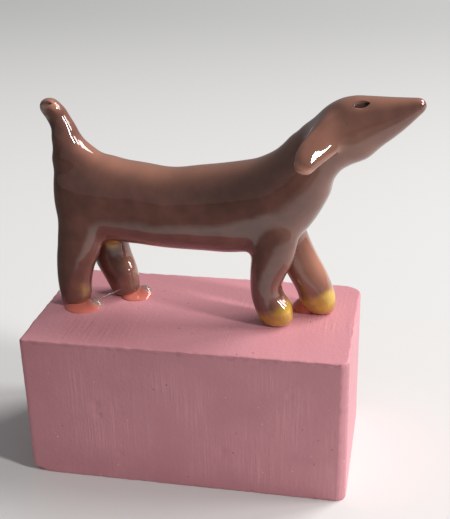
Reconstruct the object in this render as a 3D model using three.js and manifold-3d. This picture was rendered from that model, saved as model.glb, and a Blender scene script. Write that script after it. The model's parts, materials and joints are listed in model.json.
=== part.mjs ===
// A small dachshund modelled in clay, glazed and fired, standing on a painted wooden plinth.
// Beads of clear glue hold three of its feet; the fourth paw only rests.
// Millimetres, +Z up, nose towards +X. The origin is the middle of the plinth's underside.
import * as THREE from "three";
import { mergeVertices } from "three/addons/utils/BufferGeometryUtils.js";
import Module from "manifold-3d";

const wasm = await Module();
wasm.setup();

// Driving dimensions: the plinth, a sawn and sanded block

const PLINTH_LENGTH = 100; // the main size, which the dog follows
const PLINTH_HEIGHT = 48;
const PLINTH_BESIDE = 21.5; // from the middle planes of the legs to the plinth's sides
const PLINTH_BEHIND = 9.5; // from the rearmost foot's middle to the plinth's end
const PLINTH_CORNER = 2.6; // radius of the upright edges, inside the rounding of the others
const PLINTH_EDGE = 1.4; // rounding of the top and bottom edges

// Driving dimensions: how the dog stands

const DOG_TURN = -3.5; // degrees about the upright
const DOG_SETBACK = 3.4; // of the dog's middle plane, from the plinth's
const STANCE = 10; // between the middle planes of the right and left legs
const JOINT_GAP = 0.3; // between pieces that are pressed or glued together

// Driving dimensions: sections of the dog, in hundredths of the plinth's length. Each is a section
// across the piece, with its middle at x along the dog and z above the soles, and with its full
// height and width.

const HUNDREDTH = PLINTH_LENGTH / 100;

const BODY = [
  { x: -41, z: 34.2, tall: 25, wide: 15.5 }, // rump
  { x: -30, z: 34.4, tall: 26.4, wide: 18.6 }, // hips
  { x: -18, z: 33.8, tall: 26.2, wide: 18.4 },
  { x: -8, z: 33.2, tall: 26, wide: 18 }, // waist
  { x: 3, z: 33.9, tall: 27.4, wide: 18.4 },
  { x: 13, z: 34.8, tall: 28.2, wide: 19.2 }, // shoulders
  { x: 22.8, z: 37.6, tall: 28, wide: 19 }, // chest
  { x: 30.3, z: 44.5, tall: 23.4, wide: 17 }, // root of the neck
  { x: 36.5, z: 52.7, tall: 18.2, wide: 14.6 }, // neck
];
const RUMP_ROUND = 5.2; // length of the rump's rounded end
const NECK_ROUND = 3; // length of the neck's end, inside the head

// The head's sections are measured from the last section of the neck.
const HEAD = [
  { x: 1.6, z: 2, tall: 16.8, wide: 14.8 }, // nape
  { x: 5.8, z: 6.1, tall: 17.2, wide: 15.2 }, // skull
  { x: 11.2, z: 9.2, tall: 17.4, wide: 14.2 }, // brow
  { x: 19.1, z: 11.9, tall: 12.8, wide: 10.6 }, // muzzle
  { x: 24.8, z: 14.2, tall: 8, wide: 7.4 },
  { x: 28.7, z: 15.9, tall: 4.4, wide: 4.6 }, // nose
];
const NOSE_ROUND = 2;
const SKULL = 1; // the section that carries the ears
const BROW = 2; // the section that carries the eyes

// Each eye is an almond pressed into the brow with a tool.
const EYE_LENGTH = 5.4;
const EYE_TALL = 2.4;
const EYE_DEPTH = 1.1;
const EYE_RISE = 22; // degrees that its front end lifts
const EYE_AHEAD = 2; // from the brow section's middle
const EYE_ROUND_TO = 55; // degrees round the brow's oval, up from its side

// The ear's sections are measured from the skull section, and out from the dog's middle plane.
const EAR = [
  { x: 1.6, out: 5.2, z: 4.6, long: 9, thick: 3.6 }, // root, inside the head
  { x: -1.5, out: 7.8, z: 1.6, long: 11, thick: 3.2 },
  { x: -4.5, out: 9.5, z: -2.4, long: 9.2, thick: 3 },
  { x: -6.5, out: 10.3, z: -6.4, long: 5.8, thick: 2.6 }, // tip
];
const EAR_ROUND = 2;

// The tail's sections are measured from the rump section.
const TAIL = [
  { x: 5, z: 6, tall: 15, wide: 13 }, // root, inside the rump
  { x: 2.4, z: 14.2, tall: 14.4, wide: 11.6 },
  { x: 0.6, z: 19.3, tall: 8.6, wide: 8.4 },
  { x: -0.6, z: 23.3, tall: 6.6, wide: 6.8 },
  { x: -2.6, z: 26.8, tall: 6.4, wide: 6.4 },
  { x: -4.2, z: 29.4, tall: 5.4, wide: 5.6 }, // tip
];
const TAIL_ROUND = 2;

// Legs, from the top inside the body down to the sole.
const HIND_RIGHT = [
  { x: -36, z: 31, tall: 16, wide: 8.6 },
  { x: -37.6, z: 21, tall: 14.2, wide: 9.2 },
  { x: -39.5, z: 14.4, tall: 12.4, wide: 9 },
  { x: -40.4, z: 7.4, tall: 11, wide: 8.6 },
  { x: -40.5, z: 2, tall: 10, wide: 8.4 },
];
const HIND_LEFT = [
  { x: -33.4, z: 31, tall: 14, wide: 8.6 },
  { x: -32.4, z: 21, tall: 12.8, wide: 9.2 },
  { x: -30.7, z: 13, tall: 12.4, wide: 9 },
  { x: -28.3, z: 7, tall: 11.2, wide: 8.8 },
  { x: -26.9, z: 2, tall: 9.4, wide: 8.4 },
];
const FORE_RIGHT = [
  { x: 26, z: 31, tall: 14, wide: 8.6 },
  { x: 24.8, z: 22, tall: 12.8, wide: 9.2 },
  { x: 23.5, z: 17, tall: 11, wide: 9.2 },
  { x: 22.9, z: 11.4, tall: 9.6, wide: 9 },
  { x: 23.6, z: 7.6, tall: 9.8, wide: 9 },
  { x: 25.4, z: 4.2, tall: 10.8, wide: 9.4 },
  { x: 26.6, z: 1.4, tall: 9.6, wide: 8.6 },
];
const FORE_LEFT = [
  { x: 24.8, z: 31, tall: 13, wide: 8.6 },
  { x: 28.6, z: 22, tall: 11.4, wide: 9.2 },
  { x: 31.7, z: 16, tall: 11, wide: 9.2 },
  { x: 34.8, z: 10.4, tall: 10.8, wide: 9.4 },
  { x: 37.2, z: 5.4, tall: 10.2, wide: 9.4 },
];
const ROOT_ROUND = 2; // at the ends that are buried in a larger piece
const SOLE_DEPTH = 2.2; // that the rounded feet would reach below the soles, where they are cut flat

// Glue beads: each is a drop on the plinth, measured from its foot's last section.
const GLUE_HIND_RIGHT = { x: 3.2, out: 1.4, radius: 6.8, height: 3 };
const GLUE_HIND_LEFT = { x: 3.3, out: -0.4, radius: 6, height: 3 };
const GLUE_FORE_LEFT = { x: -3.9, out: 1.6, radius: 4.8, height: 3.8 };

// How finely the curves are cut

const SECTION_SIDES = 24; // points round a section
const STEPS_PER_SECTION = 3; // rings from one section to the next
const DOME_RINGS = 4; // rings on a rounded end
const SQUARENESS = 2.25; // 2 is an ellipse, and more is boxier
const DROP_SIDES = 24;
const ARC_STEPS = 6;

// Solids

function solidOf(geometry) {
  const bare = geometry.clone();
  bare.deleteAttribute("normal");
  bare.deleteAttribute("uv");
  const merged = mergeVertices(bare, 1e-4);
  return new wasm.Manifold(
    new wasm.Mesh({
      numProp: 3,
      vertProperties: new Float32Array(merged.attributes.position.array),
      triVerts: new Uint32Array(merged.index.array),
    }),
  );
}

function geometryOf(solid) {
  const mesh = solid.getMesh();
  const geometry = new THREE.BufferGeometry();
  geometry.setAttribute("position", new THREE.BufferAttribute(mesh.vertProperties, 3));
  geometry.setIndex(new THREE.BufferAttribute(mesh.triVerts, 1));
  geometry.computeVertexNormals();
  return geometry;
}

// Cutting a piece to its neighbour can leave crumbs on the far side of it; the piece is the largest.
function largest(solid) {
  const volume = (s) => s.volume();
  return solid.decompose().reduce((a, b) => (volume(a) > volume(b) ? a : b));
}

function cut(solid, ...neighbours) {
  return largest(neighbours.reduce((left, other) => left.subtract(other), solid));
}

// Turns a circle's sine or cosine into that of the boxier oval.
const rounded = (v) => Math.sign(v) * Math.abs(v) ** (2 / SQUARENESS);

// A closed skin over oval sections strung along a curve, each square to the curve, with rounded ends.
// With grow, the skin stands that far outside itself.
function loft(sections, startRound, endRound, grow = 0) {
  const spine = new THREE.CatmullRomCurve3(sections.map((s) => s.middle), false, "centripetal");
  const sizes = new THREE.CatmullRomCurve3(sections.map((s) => new THREE.Vector3(s.tall, s.wide, 0)));
  const stations = [];
  const steps = STEPS_PER_SECTION * (sections.length - 1);
  const addDome = (t, round, sign) => {
    for (let k = 1; k < DOME_RINGS; k++) {
      const angle = ((sign < 0 ? DOME_RINGS - k : k) / DOME_RINGS) * (Math.PI / 2);
      stations.push({ t, ahead: sign * (round + grow) * Math.sin(angle), shrink: Math.cos(angle) });
    }
  };
  addDome(0, startRound, -1);
  for (let k = 0; k <= steps; k++) stations.push({ t: k / steps, ahead: 0, shrink: 1 });
  addDome(1, endRound, 1);

  const tip = (t, ahead) => spine.getPoint(t).addScaledVector(spine.getTangent(t), ahead);
  const points = [tip(0, -startRound - grow)];
  for (const { t, ahead, shrink } of stations) {
    const along = spine.getTangent(t);
    const across = new THREE.Vector3(0, 1, 0).addScaledVector(along, -along.y).normalize();
    const up = along.clone().cross(across);
    const middle = tip(t, ahead);
    const size = sizes.getPoint(t);
    for (let k = 0; k < SECTION_SIDES; k++) {
      const angle = (2 * Math.PI * k) / SECTION_SIDES;
      const rise = (size.x / 2 + grow) * shrink * rounded(Math.cos(angle));
      const reach = (size.y / 2 + grow) * shrink * rounded(Math.sin(angle));
      points.push(middle.clone().addScaledVector(up, rise).addScaledVector(across, reach));
    }
  }
  points.push(tip(1, endRound + grow));

  const last = points.length - 1;
  const at = (ring, k) => 1 + ring * SECTION_SIDES + (k % SECTION_SIDES);
  const faces = [];
  for (let k = 0; k < SECTION_SIDES; k++) {
    faces.push(0, at(0, k), at(0, k + 1));
    for (let ring = 0; ring + 1 < stations.length; ring++) {
      faces.push(at(ring, k), at(ring + 1, k), at(ring + 1, k + 1));
      faces.push(at(ring, k), at(ring + 1, k + 1), at(ring, k + 1));
    }
    faces.push(at(stations.length - 1, k), last, at(stations.length - 1, k + 1));
  }
  const geometry = new THREE.BufferGeometry().setFromPoints(points);
  geometry.setIndex(faces);
  return solidOf(geometry);
}

// Sections in an upright plane along the dog, in millimetres.
const inPlane = (sections, origin, y = 0) =>
  sections.map((s) => ({
    middle: new THREE.Vector3(origin.x + s.x * HUNDREDTH, y, origin.z + s.z * HUNDREDTH),
    tall: s.tall * HUNDREDTH,
    wide: s.wide * HUNDREDTH,
  }));

// The dog's body: torso and neck, rolled and bent from one piece of clay

const DOG_ORIGIN = new THREE.Vector3();
const bodySections = inPlane(BODY, DOG_ORIGIN);
const bodyLoft = (grow) => loft(bodySections, RUMP_ROUND, NECK_ROUND, grow);
const body = bodyLoft(0);
const bodyClearance = bodyLoft(JOINT_GAP);
const rump = bodySections.at(0).middle;
const neck = bodySections.at(-1).middle;

// Head, with an eye pressed into each side

const headSections = inPlane(HEAD, neck);
const headLoft = (grow) => loft(headSections, ROOT_ROUND, NOSE_ROUND, grow);

// The tool goes in square to the brow's oval side.
function eyeTool(side) {
  const brow = headSections[BROW];
  const around = THREE.MathUtils.degToRad(EYE_ROUND_TO);
  const rise = rounded(Math.sin(around));
  const reach = rounded(Math.cos(around));
  const slopeUp = rise ** (SQUARENESS - 1) / brow.tall;
  const slopeOut = reach ** (SQUARENESS - 1) / brow.wide;
  const almond = new THREE.SphereGeometry(1, DROP_SIDES, DROP_SIDES / 2);
  almond.scale(EYE_LENGTH / 2, EYE_DEPTH, EYE_TALL / 2);
  almond.rotateY(THREE.MathUtils.degToRad(-EYE_RISE));
  almond.rotateX(side * Math.atan2(slopeUp, slopeOut));
  almond.translate(
    brow.middle.x + EYE_AHEAD,
    (side * reach * brow.wide) / 2,
    brow.middle.z + (rise * brow.tall) / 2,
  );
  return solidOf(almond);
}

const head = cut(headLoft(0), bodyClearance, eyeTool(-1), eyeTool(1));
const headClearance = headLoft(JOINT_GAP);

// Ears: flaps hung from the sides of the skull, clear of the neck

function ear(side) {
  const skull = headSections[SKULL].middle;
  const sections = EAR.map((s) => ({
    middle: new THREE.Vector3(s.x, side * s.out, s.z).multiplyScalar(HUNDREDTH).add(skull),
    tall: s.long * HUNDREDTH,
    wide: s.thick * HUNDREDTH,
  }));
  return cut(loft(sections, ROOT_ROUND, EAR_ROUND), headClearance, bodyClearance);
}

// Tail: a tapered roll pressed onto the rump, its tip bent back

const tail = cut(loft(inPlane(TAIL, rump), ROOT_ROUND, TAIL_ROUND), bodyClearance);

// Legs: four rolls pressed onto the body and cut flat at the soles. Each left leg makes room for the
// right leg of its pair.

const FLOOR_REACH = 200;
const belowSoles = new THREE.BoxGeometry(FLOOR_REACH, FLOOR_REACH, FLOOR_REACH);
belowSoles.translate(0, 0, -FLOOR_REACH / 2);
const floor = solidOf(belowSoles);

const RIGHT = -1;
const LEFT = 1;

function makeLeg(sections, side, neighbours) {
  const placed = inPlane(sections, DOG_ORIGIN, (side * STANCE) / 2);
  const foot = placed.at(-1).middle;
  const footRound = foot.z + SOLE_DEPTH;
  const solid = cut(loft(placed, ROOT_ROUND, footRound), bodyClearance, floor, ...neighbours);
  return { solid, clearance: loft(placed, ROOT_ROUND, footRound, JOINT_GAP), foot, side };
}

const hindRight = makeLeg(HIND_RIGHT, RIGHT, []);
const hindLeft = makeLeg(HIND_LEFT, LEFT, [hindRight.clearance]);
const foreRight = makeLeg(FORE_RIGHT, RIGHT, []);
const foreLeft = makeLeg(FORE_LEFT, LEFT, [foreRight.clearance]);

// Glue: drops that set round the feet

function glueBead(leg, drop) {
  const profile = new THREE.Path();
  profile.moveTo(0, 0);
  profile.lineTo(drop.radius, 0);
  profile.absellipse(0, 0, drop.radius, drop.height, 0, Math.PI / 2);
  const dome = new THREE.LatheGeometry(profile.getPoints(ARC_STEPS), DROP_SIDES);
  dome.rotateX(Math.PI / 2);
  dome.translate(leg.foot.x + drop.x, leg.foot.y + leg.side * drop.out, 0);
  return cut(solidOf(dome), leg.clearance);
}

// Plinth: a block with its upright edges, then its top and bottom edges, sanded round

const PLINTH_DEPTH = STANCE + 2 * PLINTH_BESIDE;

function plinthGeometry() {
  const right = PLINTH_LENGTH / 2 - PLINTH_EDGE - PLINTH_CORNER;
  const back = PLINTH_DEPTH / 2 - PLINTH_EDGE - PLINTH_CORNER;
  const outline = new THREE.Shape();
  const corners = [[right, back], [-right, back], [-right, -back], [right, -back]];
  corners.forEach(([x, y], turn) => {
    const from = (turn * Math.PI) / 2;
    outline.absarc(x, y, PLINTH_CORNER, from, from + Math.PI / 2);
  });
  const block = new THREE.ExtrudeGeometry(outline, {
    depth: PLINTH_HEIGHT - 2 * PLINTH_EDGE,
    bevelSize: PLINTH_EDGE,
    bevelThickness: PLINTH_EDGE,
    bevelSegments: ARC_STEPS / 2,
    curveSegments: ARC_STEPS,
  });
  return block.translate(0, 0, PLINTH_EDGE);
}

// Finishes

const finish = (color, roughness) => new THREE.MeshStandardMaterial({ color, roughness, metalness: 0 });
const chestnutGlaze = finish(0x96624f, 0.12);
const ochreGlaze = finish(0xa8703f, 0.12);
const clearGlue = finish(0xe0765a, 0.08);
const pinkPaint = finish(0xcf8492, 0.6);

// Assembly

const figurine = new THREE.Group();
const dog = new THREE.Group();
const feet = [hindRight, hindLeft, foreRight, foreLeft].map((leg) => leg.foot.x);
const rearmost = Math.min(...feet);
dog.position.set(-PLINTH_LENGTH / 2 + PLINTH_BEHIND - rearmost, DOG_SETBACK, PLINTH_HEIGHT + JOINT_GAP);
dog.rotation.z = THREE.MathUtils.degToRad(DOG_TURN);
figurine.add(dog);

function place(parent, name, geometry, material) {
  const mesh = new THREE.Mesh(geometry, material);
  mesh.name = name;
  parent.add(mesh);
}

place(figurine, "plinth", plinthGeometry(), pinkPaint);
place(dog, "body", geometryOf(body), chestnutGlaze);
place(dog, "head", geometryOf(head), chestnutGlaze);
place(dog, "ear_right", geometryOf(ear(RIGHT)), chestnutGlaze);
place(dog, "ear_left", geometryOf(ear(LEFT)), chestnutGlaze);
place(dog, "tail", geometryOf(tail), chestnutGlaze);
place(dog, "hind_leg_right", geometryOf(hindRight.solid), chestnutGlaze);
place(dog, "hind_leg_left", geometryOf(hindLeft.solid), chestnutGlaze);
place(dog, "foreleg_right", geometryOf(foreRight.solid), ochreGlaze);
place(dog, "foreleg_left", geometryOf(foreLeft.solid), ochreGlaze);
place(dog, "glue_bead_hind_right", geometryOf(glueBead(hindRight, GLUE_HIND_RIGHT)), clearGlue);
place(dog, "glue_bead_hind_left", geometryOf(glueBead(hindLeft, GLUE_HIND_LEFT)), clearGlue);
place(dog, "glue_bead_fore_left", geometryOf(glueBead(foreLeft, GLUE_FORE_LEFT)), clearGlue);

export default figurine;
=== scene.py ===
# %% [markdown]
# # A glazed clay dachshund on a painted block
# The object is a small dog, rolled and pressed from a few pieces of clay, glazed, fired, and glued onto
# a block of painted wood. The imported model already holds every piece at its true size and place. This
# lesson loads it as a fixed frame, and gives each piece the form and the surface of the real one.

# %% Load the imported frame
import json
import math

import bmesh
import bpy
import numpy as np
from mathutils import Matrix, Vector, noise
from mathutils.bvhtree import BVHTree


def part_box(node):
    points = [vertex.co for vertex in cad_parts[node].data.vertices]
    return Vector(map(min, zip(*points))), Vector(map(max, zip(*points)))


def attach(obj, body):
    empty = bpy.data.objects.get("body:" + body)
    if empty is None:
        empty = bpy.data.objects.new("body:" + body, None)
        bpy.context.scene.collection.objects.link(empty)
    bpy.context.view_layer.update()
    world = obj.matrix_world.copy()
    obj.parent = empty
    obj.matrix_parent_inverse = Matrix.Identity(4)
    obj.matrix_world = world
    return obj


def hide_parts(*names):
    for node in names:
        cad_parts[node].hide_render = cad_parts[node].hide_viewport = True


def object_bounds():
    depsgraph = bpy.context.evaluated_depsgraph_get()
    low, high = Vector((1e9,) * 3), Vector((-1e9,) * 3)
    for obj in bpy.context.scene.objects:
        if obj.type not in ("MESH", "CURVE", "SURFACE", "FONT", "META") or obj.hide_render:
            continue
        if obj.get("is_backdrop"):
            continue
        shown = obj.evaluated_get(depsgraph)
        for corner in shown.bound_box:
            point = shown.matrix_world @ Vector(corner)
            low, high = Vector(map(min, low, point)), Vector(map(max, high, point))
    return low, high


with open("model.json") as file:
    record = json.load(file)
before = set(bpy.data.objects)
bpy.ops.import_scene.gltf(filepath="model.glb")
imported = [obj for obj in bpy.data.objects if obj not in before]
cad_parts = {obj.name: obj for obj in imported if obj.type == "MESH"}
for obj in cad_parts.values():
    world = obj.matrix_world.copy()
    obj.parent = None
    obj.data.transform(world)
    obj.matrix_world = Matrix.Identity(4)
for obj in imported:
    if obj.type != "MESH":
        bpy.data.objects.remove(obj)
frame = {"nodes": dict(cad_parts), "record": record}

cad_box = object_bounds()
print("Nodes in the frame:", ", ".join(sorted(frame["nodes"])))

# %% [markdown]
# ## Millimetres, and the dog's own axes
# Blender works in metres, but a hand-sized figure is easier to think of in millimetres, so the forms
# are worked out in millimetres and scaled once at the end. The dog stands a little askew on its block,
# so a place on it is written as so far ahead, left and above the soles, and one function turns that
# into a place in the frame.

# %% Millimetres, and the dog's own axes
MM = 0.001
DOG_TURN = math.radians(-3.5)  # about the upright
DOG_SETBACK = 3.4  # from the block's middle plane to the dog's
BLOCK_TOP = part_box("plinth")[1].z / MM
RIGHT, LEFT = -1, 1
dog_axes = Matrix.Rotation(DOG_TURN, 3, "Z")


def on_dog(ahead, left, above):
    """A place in the frame, in mm, from a place on the dog measured from its middle and its soles."""
    return dog_axes @ Vector((ahead, left, above)) + Vector((0, DOG_SETBACK, BLOCK_TOP))


print(f"The dog stands {BLOCK_TOP:.1f} mm above the table.")

# %% [markdown]
# ## The clay
# The maker rolled a body, then pressed on a head, two ears, a tail and four legs, and wiped the joins
# smooth with a wet finger. Subdividing each piece by itself would leave a hard crease at every join.
# Instead the pieces are gathered into one lump, and a voxel remesh wraps the lump in a single skin of
# even squares, which can be smoothed like wet clay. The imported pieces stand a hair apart, so each is
# grown a little first, and the soles are let down onto the block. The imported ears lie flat, but a streak
# of light down the real one shows that its tip stands off the neck, so the ears are swung out, and the
# corner behind each is filled with some more clay.

# %% Gather the clay pieces into one lump
CLAY = (
    "body", "head", "ear_right", "ear_left", "tail",
    "hind_leg_right", "hind_leg_left", "foreleg_right", "foreleg_left",
)
JOIN_GROWTH = 0.2
SOLE_GAP = 0.35  # the soles hang this far above the block at most
SKIN_STEP = 0.4  # side of the skin's squares
WELD = 0.001  # points nearer than this become one
EARS = {"ear_right": RIGHT, "ear_left": LEFT}
EAR_HINGE = Vector((41.5, 0, 62.5))  # where an ear leaves the head
EAR_HANG = Vector((-0.46, 0, -0.89))  # way from there to its tip
EAR_BACK = Vector((-0.89, 0, 0.46))  # way across it to its back edge
EAR_SWING, EAR_LIFT = 0.38, 0.13  # an ear stands out and is lifted by these shares of the way down it
EAR_TURN = 0.27  # and stands out by this share of the way back across it
EAR_FILLS = (  # clay behind an ear: ahead, out and above, and radius
    (37.5, 8.6, 61.0, 3.0),
    (39.5, 6.6, 64.0, 2.4),
)

lump = bmesh.new()
for name in CLAY:
    first = len(lump.verts)
    lump.from_mesh(frame["nodes"][name].data)
    lump.verts.ensure_lookup_table()
    for point in lump.verts[first:]:
        point.co /= MM
        if name in EARS:
            from_hinge = dog_axes.transposed() @ (point.co - on_dog(*EAR_HINGE))
            down = max(from_hinge.dot(EAR_HANG), 0)
            out = EAR_SWING * down + EAR_TURN * from_hinge.dot(EAR_BACK)
            point.co += dog_axes @ Vector((0, EARS[name] * out, EAR_LIFT * down))
for ahead, out, above, radius in EAR_FILLS:
    for side in (RIGHT, LEFT):
        place = Matrix.Translation(on_dog(ahead, side * out, above))
        bmesh.ops.create_icosphere(lump, subdivisions=3, radius=radius, matrix=place)
bmesh.ops.remove_doubles(lump, verts=lump.verts, dist=WELD)
lump.normal_update()
for point in lump.verts:
    point.co += point.normal * JOIN_GROWTH
    if point.co.z < BLOCK_TOP + SOLE_GAP:
        point.co.z = BLOCK_TOP
print("Points in the lump:", len(lump.verts))


# %% Wrap the lump in one skin
def islands_of(things, neighbours):
    """Groups of things that hang together, the largest first."""
    left = set(things)
    islands = []
    while left:
        edge = [left.pop()]
        island = list(edge)
        while edge:
            fresh = [other for other in neighbours(edge.pop()) if other in left]
            left.difference_update(fresh)
            edge.extend(fresh)
            island.extend(fresh)
        islands.append(island)
    return sorted(islands, key=len, reverse=True)


def put(name, data):
    """A new object in the scene that shows this data."""
    made = bpy.data.objects.new(name, data)
    bpy.context.scene.collection.objects.link(made)
    return made


def wrapped(lump, step):
    """A closed skin of even squares round a lump, without the small hollows inside the joins."""
    mesh = bpy.data.meshes.new("lump")
    lump.to_mesh(mesh)
    holder = put("lump", mesh)
    remesh = holder.modifiers.new("skin", "REMESH")
    remesh.mode = "VOXEL"
    remesh.voxel_size = step
    skin = bmesh.new()
    skin.from_object(holder, bpy.context.evaluated_depsgraph_get())
    bpy.data.objects.remove(holder)
    islands = islands_of(skin.verts, lambda v: [e.other_vert(v) for e in v.link_edges])
    for hollow in islands[1:]:
        bmesh.ops.delete(skin, geom=hollow, context="VERTS")
    return skin


skin = wrapped(lump, SKIN_STEP)
skin.verts.index_update()
print("Points in the skin:", len(skin.verts))

# %% [markdown]
# ## Which piece each patch of skin belongs to
# The skin is one surface, but the dog stays an assembly: in the end the skin is cut back along the
# joins into the maker's pieces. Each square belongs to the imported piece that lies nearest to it. Small
# stray patches are given to the piece around them, so every piece stays whole.

# %% Name each patch of skin after its clay piece
FAR = 8.0  # beyond this a piece no longer matters to a patch


def tree_of(node):
    """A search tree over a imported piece, in mm."""
    mesh = frame["nodes"][node].data
    return BVHTree.FromPolygons([v.co / MM for v in mesh.vertices], [p.vertices for p in mesh.polygons])


def distance(tree, place):
    found = tree.find_nearest(place, FAR)[3]
    return FAR if found is None else found


clay_trees = [tree_of(name) for name in CLAY]
apart = np.array([[distance(tree, v.co) for tree in clay_trees] for v in skin.verts])
piece_of = skin.faces.layers.int.new("clay_piece")
for face in skin.faces:
    face[piece_of] = int(apart[[v.index for v in face.verts]].sum(0).argmin())


def beside(face):
    return [other for edge in face.edges for other in edge.link_faces if other is not face]


def same_piece_beside(face):
    return [other for other in beside(face) if other[piece_of] == face[piece_of]]


whole = set()
for island in islands_of(skin.faces, same_piece_beside):
    piece = island[0][piece_of]
    if piece not in whole:
        whole.add(piece)
        continue
    around = [other[piece_of] for face in island for other in beside(face) if other[piece_of] != piece]
    for face in island:
        face[piece_of] = max(set(around), key=around.count)
print("Pieces named on the skin:", len(whole))

# %% [markdown]
# ## Smoothing like wet clay
# Moving each point a little towards the mean of its neighbours, many times over, blurs a surface as a
# wet finger does. How far the blur reaches is set by the piece: the thick body takes a wide blur, the
# thin ears a narrow one, and the joins the widest, which turns their creases into fillets. The lower
# half of an ear hangs free, so no join is smoothed there.

# %% Smooth the skin like wet clay
SMOOTH_REACH = {"body": 1.9, "head": 1.1, "ear": 0.9, "tail": 0.9, "hind": 1.2, "foreleg": 1.1}
JOIN_REACH = 2.8  # blur across a join
JOIN_WIDTH = 3.0  # how far from a join that blur fades
EAR_FREE, EAR_JOINED = 0.25, 0.6  # heights on an ear, as shares, between which its join begins
EASE = 0.6  # share of the way to the mean in one round

ends = np.array([[v.index for v in edge.verts] for edge in skin.edges])
points = np.array([v.co for v in skin.verts])


def neighbour_mean(values, ends):
    """For each point, the mean of the values at the points that it shares an edge with."""
    first, second = ends.T
    size = len(values)
    count = np.bincount(first, minlength=size) + np.bincount(second, minlength=size)
    sums = [
        np.bincount(first, column[second], size) + np.bincount(second, column[first], size)
        for column in values.T
    ]
    return (np.array(sums) / count).T


def fade(low, high, values):
    """0 below low, 1 above high, and an S-curve between, for numbers or arrays."""
    t = np.clip((values - low) / (high - low), 0, 1)
    return t * t * (3 - 2 * t)


def away_from(place, points):
    """How far each point lies from a place."""
    return np.linalg.norm(points - np.array(place), axis=1)


def falloff(away, reach):
    """1 at a place, and less with the distance away from it."""
    return np.exp(-((away / reach) ** 2))


nearest_two = np.argsort(apart, axis=1)[:, :2]
second_gap = np.sort(apart, axis=1)[:, 1]
own_reach = np.array([SMOOTH_REACH[name.split("_")[0]] for name in CLAY])[nearest_two[:, 0]]
join = falloff(second_gap, JOIN_WIDTH)
ears = [CLAY.index("ear_right"), CLAY.index("ear_left")]
ear_low, ear_high = (corner.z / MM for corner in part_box("ear_right"))
at_ear = np.isin(nearest_two, ears).any(1)
ear_share = (points[:, 2] - ear_low) / (ear_high - ear_low)
join *= np.where(at_ear, fade(EAR_FREE, EAR_JOINED, ear_share), 1)
reach = np.maximum(own_reach, JOIN_REACH * join)
ease = EASE * (reach / JOIN_REACH) ** 2
rounds = round(2 * JOIN_REACH**2 / (EASE * SKIN_STEP**2))
for _ in range(rounds):
    points += ease[:, None] * (neighbour_mean(points, ends) - points)
print("Rounds of smoothing:", rounds)

# %% Wipe two joins smoother still
WIPES = (  # ahead, out and above on the dog, on both sides, and reach
    (-30.5, 0.0, 51.0, 5.5),  # root of the tail, which sweeps into the back
    (36.0, 6.5, 63.0, 5.0),  # upper back edge of each ear, which melts into the skull
    (34.2, 7.0, 61.0, 4.2),
)
WIPE_BLUR = 3.6

wipe = np.zeros(len(points))
for ahead, out, above, wipe_reach in WIPES:
    for side in (RIGHT, LEFT):
        away = away_from(on_dog(ahead, side * out, above), points)
        wipe = np.maximum(wipe, falloff(away, wipe_reach))
for _ in range(round(2 * WIPE_BLUR**2 / (EASE * SKIN_STEP**2))):
    points += EASE * wipe[:, None] * (neighbour_mean(points, ends) - points)
print("Wiped smooth:", round(wipe.sum()), "points")


# %% Leave the slight waves of handwork
HAND_WAVES = ((13.0, 0.16), (6.0, 0.05))  # length and height of the waves


def lay_on(mesh, points):
    """Moves a mesh's points to their new places and brings its normals up to date."""
    for vertex, place in zip(mesh.verts, points):
        vertex.co = place
    mesh.normal_update()


lay_on(skin, points)
for vertex in skin.verts:
    wave = sum(height * noise.noise(vertex.co / length) for length, height in HAND_WAVES)
    vertex.co += vertex.normal * wave
    vertex.co.z = max(vertex.co.z, BLOCK_TOP)
skin.normal_update()
print("The skin is", round(max(v.co.z for v in skin.verts) - BLOCK_TOP, 1), "mm tall.")

# %% [markdown]
# ## Pressing with the thumb
# Where a leg or the tail meets the body the maker pressed the clay in or drew it out with a thumb. Each
# press is a place, a reach and a depth: points near the place move along their own normals, most at the
# middle and less with distance. On the back, the neck and the throat the thumb lay across the dog, so
# there it reaches further to the sides. The ears are plump lobes, so their middles are drawn outwards,
# and so is the skull behind them, into which their upper edges melt.

# %% Press the clay with the thumb
THUMBS = (  # ahead, left and above on the dog, reach, stretch of the reach to the sides, push outwards
    (-34.4, 0, 54.0, 4.0, 3, -1.0),  # root of the tail
    (-27.6, 0, 49.3, 3.8, 3, 1.1),
    (-38.9, 0, 60.8, 3.2, 3, -0.4),
    (-41.6, -3.4, 55.4, 3.6, 1, 0.7),  # right side of the tail
    (-47.5, -1, 64.5, 3.2, 1, 1.1),  # tip of the tail, bent back
    (-42.8, 0, 66.0, 3.0, 1, -0.8),
    (-42.8, -2.4, 64.8, 2.6, 1, 0.9),
    (-45.1, 0, 53.5, 4.0, 2, 0.6),  # back of the tail's root
    (-45.9, 0, 44.8, 5.0, 2, 0.8),  # rump
    (-7.3, 0, 47.2, 10.0, 3, -0.4),  # back
    (24.1, 0, 54.4, 6.0, 3, -0.6),  # top of the neck
    (35.8, 0, 64.6, 4.0, 3, -0.5),  # nape
    (30.5, 0, 60.2, 2.6, 2, 0.6),
    (50.0, 0, 71.0, 6.0, 2, -0.15),  # brow
    (50.5, 0, 53.2, 5.5, 2, 1.2),  # throat
    (42.6, 0, 45.7, 3.5, 2, -0.9),  # front of the neck
    (29.4, -7, 11.0, 3.0, 1, -0.8),  # front of the right foreleg
    (28.6, -8.5, 4.0, 3.0, 1, 0.4),  # toe of the right forepaw
    (33.0, 3, 3.6, 3.0, 1, 0.7),  # heel of the left forepaw
    (-22.8, 2, 9.8, 3.0, 1, 0.5),  # knee of the left hind leg
    (-25.8, 1.5, 8.5, 3.0, 1, 0.7),
    (-22.8, 2.2, 14.0, 3.0, 1, -0.7),
)
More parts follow.
